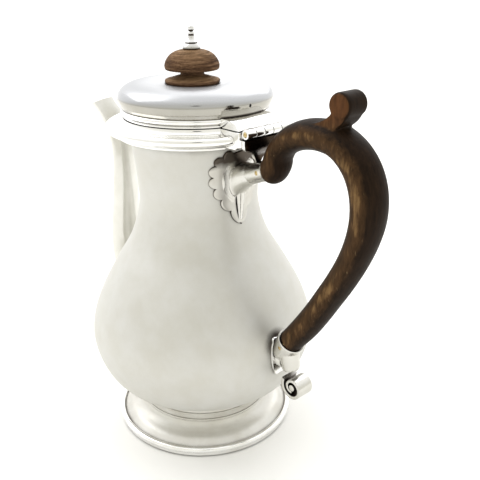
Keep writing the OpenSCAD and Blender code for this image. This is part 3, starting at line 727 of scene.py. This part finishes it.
def make_hinge():
    body_block = [(30, 183.2), (48.6, 183.2), (50.2, 184.4), (53.6, 185.2), (53.6, BLOCK_TOP_Z),
                  (LEAF_EDGE_X, BLOCK_TOP_Z), (LEAF_EDGE_X, RIM_Z), (30, RIM_Z)]
    parts = [bar_mesh(body_block, LEAF_HALF, lambda z: min(body_radius(z), RIM_R) + 0.02)]
    piece("hinge_block_body", *merged(parts + knuckle_set(0, BLOCK_TOP_Z, HINGE_Z)), BRIGHT, "pot",
          ["hinge_body_leaf"])
    top = HINGE_Z + KNUCKLE_R
    lid_block = [(30, SEAT_Z), (LEAF_EDGE_X, SEAT_Z), (LEAF_EDGE_X, top), (50.6, top + 0.4),
                 (48.8, SEAT_Z + 3.4), (46, SEAT_Z + 4.6), (30, SEAT_Z + 4.6)]
    parts = [bar_mesh(lid_block, LEAF_HALF, lambda z: RIM_R + 0.3 + 2.2 * (z - SEAT_Z) / 4.5)]
    piece("hinge_block_lid", *merged(parts + knuckle_set(1, SEAT_Z, top)), BRIGHT, "lid",
          ["hinge_lid_leaf"])
    length = HINGE_LEN + 0.4
    pin = [(0, 0), (PIN_R - 0.3, 0.05), (PIN_R, 0.3), (PIN_R, length - 0.3), (PIN_R - 0.3, length - 0.05),
           (0, length)]
    verts, faces = turned_bar(pin, HINGE_X, HINGE_Z, ROW_START - 0.2)
    piece("hinge_pin_rod", verts, faces, BRASS, "pot", ["hinge_pin"], "brass")


def make_bracket():
    """The strap from the hinge's block down to the upper socket, given by its spine in X and Z and
    by its half widths at heights."""
    spine = smooth([(54.9, BLOCK_TOP_Z), (54.9, 184.5), (52.6, 181.4), (49.8, 178.6), (48.9, 174.5),
                    (48.8, 172.6)], 8)
    widths = smooth([(BLOCK_TOP_Z, LEAF_HALF), (184.9, 15.4), (183.0, 12.8), (181.4, 7.6), (179.6, 5.2),
                     (176.6, 3.0), (174.4, 1.6), (172.6, 1.3)], 6)
    zs = [w[0] for w in reversed(widths)]
    ws = [w[1] for w in reversed(widths)]
    rings = []
    for x, z in spine:
        half = float(np.interp(z, zs, ws))
        ring = []
        for side, steps in ((1, range(-6, 7)), (-1, range(6, -7, -1))):
            for k in steps:
                bevel = 0.3 if abs(k) == 6 else 0.0
                y = half * k / 6 - math.copysign(bevel / 2, k)
                ring.append((x + side * (STRAP_T / 2 - bevel), y, z))
        rings.append(ring)
    verts, faces = skin_mesh(rings)
    piece("hinge_strap", verts, faces, STRAP_SILVER, "pot", ["hinge_bracket"], sharp=50)


# ---- plates soldered to the body ----

def plate_mesh(outline, centre, thickness, rows=14):
    """A plate with its outline in Y and Z, bent to the body's surface on the handle's side."""
    layers = []
    levels = [(k / rows, thickness) for k in range(1, rows)]
    levels += [(1 - 0.012, thickness), (1.0, thickness - 0.2), (1.0, 0.0)]
    for scale, height in levels:
        ring = []
        for y, z in outline:
            yy = centre[0] + (y - centre[0]) * scale
            zz = centre[1] + (z - centre[1]) * scale
            r = body_radius(zz) + height
            ring.append((math.sqrt(r * r - yy * yy), yy, zz))
        layers.append(ring)
    middle = (body_radius(centre[1]) + thickness, centre[0], centre[1])
    verts = [middle] + [p for ring in layers for p in ring]
    n = len(outline)
    faces = [(0, 1 + k, 1 + (k + 1) % n) for k in range(n)]
    faces += [tuple(i + 1 for i in f) for f in grid_faces(len(layers), n)]
    faces.append(tuple(1 + (len(layers) - 1) * n + k for k in reversed(range(n))))
    return verts, faces


def card_outline():
    """Cut-card outline: a shield with scalloped sides that meet in a point below."""
    spine = [np.array(p) for p in smooth([
        (0, 178.6), (8.2, 178), (14.9, 173.6), (16.9, 165.5), (14.3, 156.5), (8.6, 147.5), (0, 137.4)], 24)]
    lobes, depth, inset = 8, 2.5, 0.8
    n = len(spine) - 1
    per_lobe = n / lobes
    side = []
    for k in range(n):
        tangent = spine[k + 1] - spine[max(k - 1, 0)]
        outward = np.array([-tangent[1], tangent[0]]) / np.linalg.norm(tangent)
        swell = 0 if k < per_lobe else abs(math.sin(math.pi * k / per_lobe)) ** 0.62
        start = min(1.0, k / per_lobe)
        side.append(tuple(spine[k] + outward * (depth * swell - inset * start)))
    return side + [(0, 136.6)] + [(-y, z) for y, z in reversed(side) if y > 0.01]


def make_plates():
    verts, faces = plate_mesh(card_outline(), (0, CARD_MIDDLE_Z), PLATE_T)
    piece("cut_card_plate", verts, faces, PLATE_SILVER, "pot", ["upper_plate"], sharp=50)
    half_wide, half_high = 6.9, 12.2
    points = 96
    lower = []
    for k in range(points):
        a = 2 * math.pi * k / points
        z = LOWER_PLATE_Z + half_high * math.sin(a) * (1 - 0.10 * math.cos(4 * a))
        pinch = 1 - 0.10 * math.exp(-((abs(z - LOWER_PLATE_Z) - 8.6) / 1.6) ** 2)
        lower.append((half_wide * math.cos(a) * pinch, z))
    verts, faces = plate_mesh(lower, (0, LOWER_PLATE_Z), LOWER_PLATE_T)
    piece("lower_mount_plate", verts, faces, BRIGHT, "pot", ["lower_plate"], sharp=50)


# ---- sockets ----

# Flared root of the upper socket: distance from its mouth, half height and half width
SOCKET_ROOT = smooth([
    (-3, 5.2, 5.2), (-11.6, 5.45, 5.45), (-15, 6.3, 6.0), (-20, 7.6, 6.8), (-24.5, 9.3, 7.7), (-28, 12, 8.8),
    (-30.5, 14, 9.8)], 6)


def make_upper_socket():
    length = 24.0
    bore_depth = 12.0
    tongue_low = 139.5
    outline = (
        [(0, -length), (SOCKET_R, -length), (SOCKET_R, -1.1), (SOCKET_R + 0.3, -0.8)]
        + [(SOCKET_R + 0.3, -0.15), (SOCKET_R + 0.15, 0), (SOCKET_BORE + 0.1, 0), (SOCKET_BORE, -0.1)]
        + [(SOCKET_BORE, -bore_depth), (0, -bore_depth)])
    axis = tilted_frame(SOCKET_MOUTH[0], SOCKET_MOUTH[1], math.pi / 2 - SOCKET_TILT)
    verts, faces = lathe_mesh(outline, 96)
    parts = [(placed(verts, axis), faces)]
    sides = 72
    turns = np.linspace(0, 2 * math.pi, sides + 1)[:-1]
    rings = []
    for depth, high, wide in SOCKET_ROOT:
        rings.append(placed([(high * math.cos(a), wide * math.sin(a), depth) for a in turns], axis))
    root, faces = skin_mesh(rings, capped=False)
    faces.append(tuple(range(len(root) - sides, len(root))))
    parts.append((root, faces))
    verts, faces = lathe_mesh([(0, 0), (1.4, 0), (4.2, 25), (0, 25)], 48)
    parts.append((placed(verts, tilted_frame(NECK_R - 0.5, tongue_low, math.radians(1.5))), faces))
    verts, faces = merged(parts)
    piece("upper_socket_tube", pushed_out(verts, PLATE_T), faces, CAST, "pot", ["upper_socket"], sharp=45)
    rivet(axis, -4.0, SOCKET_R, "upper_rivet_head", "upper_rivet")


def rivet(axis, depth, reach, name, node):
    """A brass rivet across a socket, with slightly domed heads."""
    radius = 1.25
    length = 2 * reach + 0.4
    outline = [(0, 0), (0.8, 0.06), (radius, 0.3), (radius, length - 0.3), (0.8, length - 0.06), (0, length)]
    verts, faces = lathe_mesh(outline, 48)
    turn = axis @ Matrix.Translation((0, -length / 2, depth)) @ Matrix.Rotation(math.radians(-90), 4, "X")
    piece(name, placed(verts, turn), faces, BRASS, "pot", [node], "brass")


def make_lower_socket():
    depth = 9.0
    bore = 6.6
    axis = tilted_frame(CUP_MOUTH[0], CUP_MOUTH[1], CUP_LEAN)
    ball = CUP_R - 0.8
    cup = (
        arc((0, -depth), ball, -90, 0, 16)
        + [(CUP_R, -0.9), (CUP_R, -0.2), (CUP_R - 0.2, 0), (bore + 0.1, 0), (bore, -0.2), (bore, -7)]
        + [(0, -7)])
    verts, faces = lathe_mesh([(max(r, 0), z) for r, z in cup], 96)
    parts = [(placed(verts, axis), faces)]
    arm = [(0, 0), (5.2, 0), (5.2, 7.6), (4.8, 8), (0, 8)]
    verts, faces = lathe_mesh(arm, 64)
    parts.append((placed(verts, tilted_frame(64, LOWER_PLATE_Z - 0.5, math.pi / 2)), faces))
    neck = [(0, 0.8), (4.6, 0.8), (5.1, 2.0), (6.3, 13.4), (5.6, 14), (0, 14)]
    verts, faces = lathe_mesh(neck, 64)
    root = tilted_frame(SCROLL_CENTRE[0] - 5, SCROLL_CENTRE[1] + SCROLL_R - 1, math.radians(-12))
    parts.append((placed(verts, root), faces))
    verts, faces = merged(parts)
    seated = pushed_out(verts, LOWER_PLATE_T)
    piece("lower_socket_cup", seated, faces, CAST, "pot", ["lower_socket"], sharp=45)
    rivet(axis, -3.2, CUP_R - 0.25, "lower_rivet_head", "lower_rivet")


def make_scroll():
    half = 5.3
    strap = 2.1
    turns = 1.35
    steps = 72
    start = math.radians(150)
    rings = []
    for k in range(steps + 1):
        t = k / steps
        a = start + 2 * math.pi * turns * t
        outer = SCROLL_R - 5 * t
        thick = strap * (1 - 0.3 * t)
        ring = rounded([(outer, -half), (outer, half), (outer - thick, half), (outer - thick, -half)], 0.4)
        rings.append([(SCROLL_CENTRE[0] + r * math.cos(a), -y, SCROLL_CENTRE[1] + r * math.sin(a))
                      for r, y in ring])
    boss = rounded([(0, 0), (1.9, 0), (1.9, 2 * half), (0, 2 * half)], 0.4, closed=False)
    parts = [skin_mesh(rings), turned_bar(boss, SCROLL_CENTRE[0], SCROLL_CENTRE[1], -half)]
    piece("rolled_scroll", *merged(parts), CAST, "pot", ["scroll_terminal"], sharp=45)


# ---- handle ----

# Stations along the handle: X, Z, thickness across the bend and half width
HANDLE_LINE = [
    (58.6, 171.7, 12.2, 7.6), (61.0, 172.6, 14.6, 8.4), (63.6, 176.2, 14.0, 8.7), (64.9, 180.8, 12.4, 8.8),
    (68.2, 186.2, 12.2, 9.0), (73.8, 190.8, 13.4, 9.3), (80.6, 193.9, 14.4, 9.7), (87.6, 195.5, 15.0, 10.0),
    (94.8, 195.7, 15.2, 10.0), (103.0, 194.2, 15.4, 10.0), (110.8, 189.5, 16.0, 10.0),
    (116.9, 182.2, 16.4, 10.0), (120.4, 172.6, 16.4, 10.0), (120.9, 161.4, 16.0, 9.8),
    (118.2, 149.2, 15.0, 9.4), (113.4, 137.2, 14.3, 9.0), (107.2, 125.4, 14.1, 8.6),
    (100.0, 113.5, 14.0, 8.3), (92.7, 101.8, 14.0, 8.1), (85.2, 91.0, 14.0, 8.0), (76.35, 79.95, 13.2, 7.4)]


def handle_sweep():
    """The handle's bar, widest a little outside the middle of its thickness."""
    stations = np.array(smooth(HANDLE_LINE, 8))
    heading = np.gradient(stations[:, :2], axis=0)
    rings = []
    sides = 48
    for (x, z, depth, half), (dx, dz) in zip(stations, heading):
        length = math.hypot(dx, dz)
        ring = []
        for k in range(sides):
            t = 2 * math.pi * k / sides
            n = depth * (0.07 + math.cos(t) * (0.43 if math.cos(t) > 0 else 0.57))
            ring.append((x - dz / length * n, math.sin(t) * half, z + dx / length * n))
        rings.append(ring)
    return skin_mesh(rings)


def make_handle():
    half = 7.0
    cx, cz = THUMB_CENTRE
    tongue = smooth([(82, 199.4), (89, 201.6), (95.5, 203.6), (100.5, 206.8), (102.4, 209.6)], 6)
    tongue += [(cx, cz), (cx + 3.6, cz - 3.6)]
    tongue += smooth([(109.8, 206.6), (107.6, 203.6), (103, 200.6), (96, 198.4), (86, 196)], 4)
    flat = [[(x, y, z) for x, z in tongue] for y in (-half + 0.8, half - 0.8)]
    roll = ([(0, 0)] + arc((THUMB_R - 1.6, 1.6), 1.6, -90, 0, 8)
            + arc((THUMB_R - 1.6, 2 * half - 1.6), 1.6, 0, 90, 8) + [(0, 2 * half)])
    core = [(0, -11.9), (SOCKET_BORE - 0.1, -11.9), (SOCKET_BORE - 0.1, 2), (0, 2)]
    verts, faces = lathe_mesh(core, 48)
    axis = tilted_frame(SOCKET_MOUTH[0], SOCKET_MOUTH[1], math.pi / 2 - SOCKET_TILT)
    parts = [handle_sweep(), skin_mesh(flat), turned_bar(roll, cx, cz, -half), (placed(verts, axis), faces)]
    verts, faces = merged(parts)
    obj = piece("carved_handle", verts, faces, HANDLE_WOOD, "pot", ["handle"], "handle_wood", sharp=180)
    remeshed(obj, 0.6, 5)
    finish_piece(obj, HANDLE_WOOD, "pot", [], 180)


# ---- spout ----

# Stations along the spout: X and Z of its outer line, X and Z of its inner line, half width
SPOUT_LINE = [
    (-62, 47, -58, 82, 11.5), (-74.4, 55, -64, 86, 12.2), (-84, 66, -68, 90, 12.0),
    (-87.8, 80, -69.8, 95, 11.6), (-89.4, 98, -71.0, 103, 10.8), (-87.6, 116, -70.8, 117, 9.7),
    (-84.6, 134, -70.4, 133, 8.8), (-82.8, 149, -70.6, 148, 8.1), (-84.2, 161, -71.6, 162, 7.6),
    (-90.2, 171.3, -74.0, 174, 7.3), (-99.2, 178.4, -79.0, 184, 7.0), (-109.4, 183, -85.8, 191.4, 6.4)]


def spout_rings(inset):
    """Oval rings along the spout, inset from its outer surface."""
    sides = 64
    rings = []
    for ox, oz, ix, iz, half in smooth(SPOUT_LINE, 8):
        mid = np.array([ox + ix, oz + iz]) / 2
        reach = np.array([ox - ix, oz - iz]) / 2
        depth = np.linalg.norm(reach)
        ring = []
        for k in range(sides):
            t = 2 * math.pi * k / sides
            x, z = mid + reach / depth * math.cos(t) * (depth - inset)
            ring.append((x, math.sin(t) * (half - inset), z))
        rings.append(ring)
    return rings


def make_spout():
    rings = spout_rings(0) + list(reversed(spout_rings(SPOUT_WALL)))
    verts = []
    for x, y, z in [p for ring in rings for p in ring]:
        r = math.hypot(x, y)
        limit = body_radius(z) + 0.02
        if r < limit:
            x, y = x * limit / r, y * limit / r
        verts.append((x, y, z))
    faces = grid_faces(len(rings), len(rings[0]), wrap_rows=True)
    piece("swan_neck_spout", verts, faces, SPOUT_SILVER, "pot", ["spout"], sharp=50)


# ---- studio ----

def studio_walls():
    """A plain graded tent: white behind and above, a duller front wall with one small dark gap."""
    world = bpy.data.worlds.new("soft_studio")
    bpy.context.scene.world = world
    world.use_nodes = True
    tree = world.node_tree
    where = tree.nodes.new("ShaderNodeTexCoord")

    def towards(azimuth, elevation):
        """Cosine of the angle to a fixed direction of the room."""
        node = tree.nodes.new("ShaderNodeVectorMath")
        node.operation = "DOT_PRODUCT"
        tree.links.new(where.outputs["Generated"], node.inputs[0])
        a, e = math.radians(azimuth), math.radians(elevation)
        node.inputs[1].default_value = (math.cos(e) * math.cos(a), math.cos(e) * math.sin(a), math.sin(e))
        return node.outputs["Value"]

    def graded(value, low, high, stops):
        spread = tree.nodes.new("ShaderNodeMapRange")
        spread.inputs["From Min"].default_value = low
        spread.inputs["From Max"].default_value = high
        tree.links.new(value, spread.inputs["Value"])
        ramp = tree.nodes.new("ShaderNodeValToRGB")
        while len(ramp.color_ramp.elements) < len(stops):
            ramp.color_ramp.elements.new(0.5)
        for element, (position, colour) in zip(ramp.color_ramp.elements, stops):
            element.position = position
            element.color = (*colour, 1)
        tree.links.new(spread.outputs["Result"], ramp.inputs["Fac"])
        return ramp.outputs["Color"]

    walls = graded(towards(FRONT_AZIMUTH + 180, 45), -1.0, 1.0, WALL_STOPS)
    gap = graded(towards(FRONT_AZIMUTH, GAP_ELEVATION), math.cos(math.radians(GAP_WIDE)), 1.0,
                 [(0.0, (1, 1, 1)), (0.35, (0.05, 0.045, 0.04))])
    both = tree.nodes.new("ShaderNodeMix")
    both.data_type = "RGBA"
    both.blend_type = "MULTIPLY"
    both.inputs[0].default_value = 1.0
    tree.links.new(walls, both.inputs[6])
    tree.links.new(gap, both.inputs[7])
    tree.links.new(both.outputs[2], tree.nodes["Background"].inputs["Color"])
    tree.nodes["Background"].inputs["Strength"].default_value = WALL_STRENGTH


def make_studio():
    scene = bpy.context.scene
    scene.view_settings.view_transform = "Standard"
    studio_walls()
    mesh = bpy.data.meshes.new("studio_floor")
    verts, faces = lathe_mesh([(0, -0.2), (FLOOR_R, -0.2)], 96)
    mesh.from_pydata([tuple(c * MM for c in v) for v in verts], [], faces)
    floor = bpy.data.objects.new("studio_floor", mesh)
    scene.collection.objects.link(floor)
    n = Nodes("pale_floor")
    grain = n.noise(n.place(), 40.0)
    mesh.materials.append(n.surface(
        Base_Color=n.ramp(grain, [(0.0, (0.935, 0.93, 0.91)), (1.0, (0.95, 0.945, 0.925))]), Roughness=0.9))
    soft_light("key_light", KEY_PLACE, 1.0, KEY_POWER)
    soft_light("back_light", BACK_PLACE, 1.2, BACK_POWER)


def soft_light(name, place, size, power):
    data = bpy.data.lights.new(name, "AREA")
    data.size = size
    data.energy = power
    lamp = bpy.data.objects.new(name, data)
    lamp.location = place
    aim = Vector((0, 0, 0.12)) - Vector(place)
    lamp.rotation_euler = aim.to_track_quat("-Z", "Y").to_euler()
    bpy.context.scene.collection.objects.link(lamp)


def make_camera():
    data = bpy.data.cameras.new("camera")
    data.sensor_width = 36.0
    data.lens = LENS_MM
    data.clip_start = 0.01
    camera = bpy.data.objects.new("camera", data)
    heading = CAMERA_AZIMUTH - CAMERA_YAW
    turn = (Matrix.Rotation(heading, 4, "Z") @ Matrix.Rotation(math.pi / 2 - CAMERA_PITCH, 4, "X")
            @ Matrix.Rotation(-CAMERA_ROLL, 4, "Z"))
    place = Matrix.Translation((CAMERA_DISTANCE * math.sin(CAMERA_AZIMUTH),
                                -CAMERA_DISTANCE * math.cos(CAMERA_AZIMUTH), CAMERA_HEIGHT))
    camera.matrix_world = place @ turn
    bpy.context.scene.collection.objects.link(camera)
    bpy.context.scene.camera = camera


make_camera()
make_studio()
make_body()
make_foot()
make_collar()
make_lid()
make_knob()
make_hinge()
make_bracket()
make_plates()
make_upper_socket()
make_lower_socket()
make_scroll()
make_handle()
make_spout()

for node, material in (("knob_washer", CAST), ("knob_nut", BRASS)):
    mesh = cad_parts[node].data
    mesh.materials.clear()
    mesh.materials.append(material)
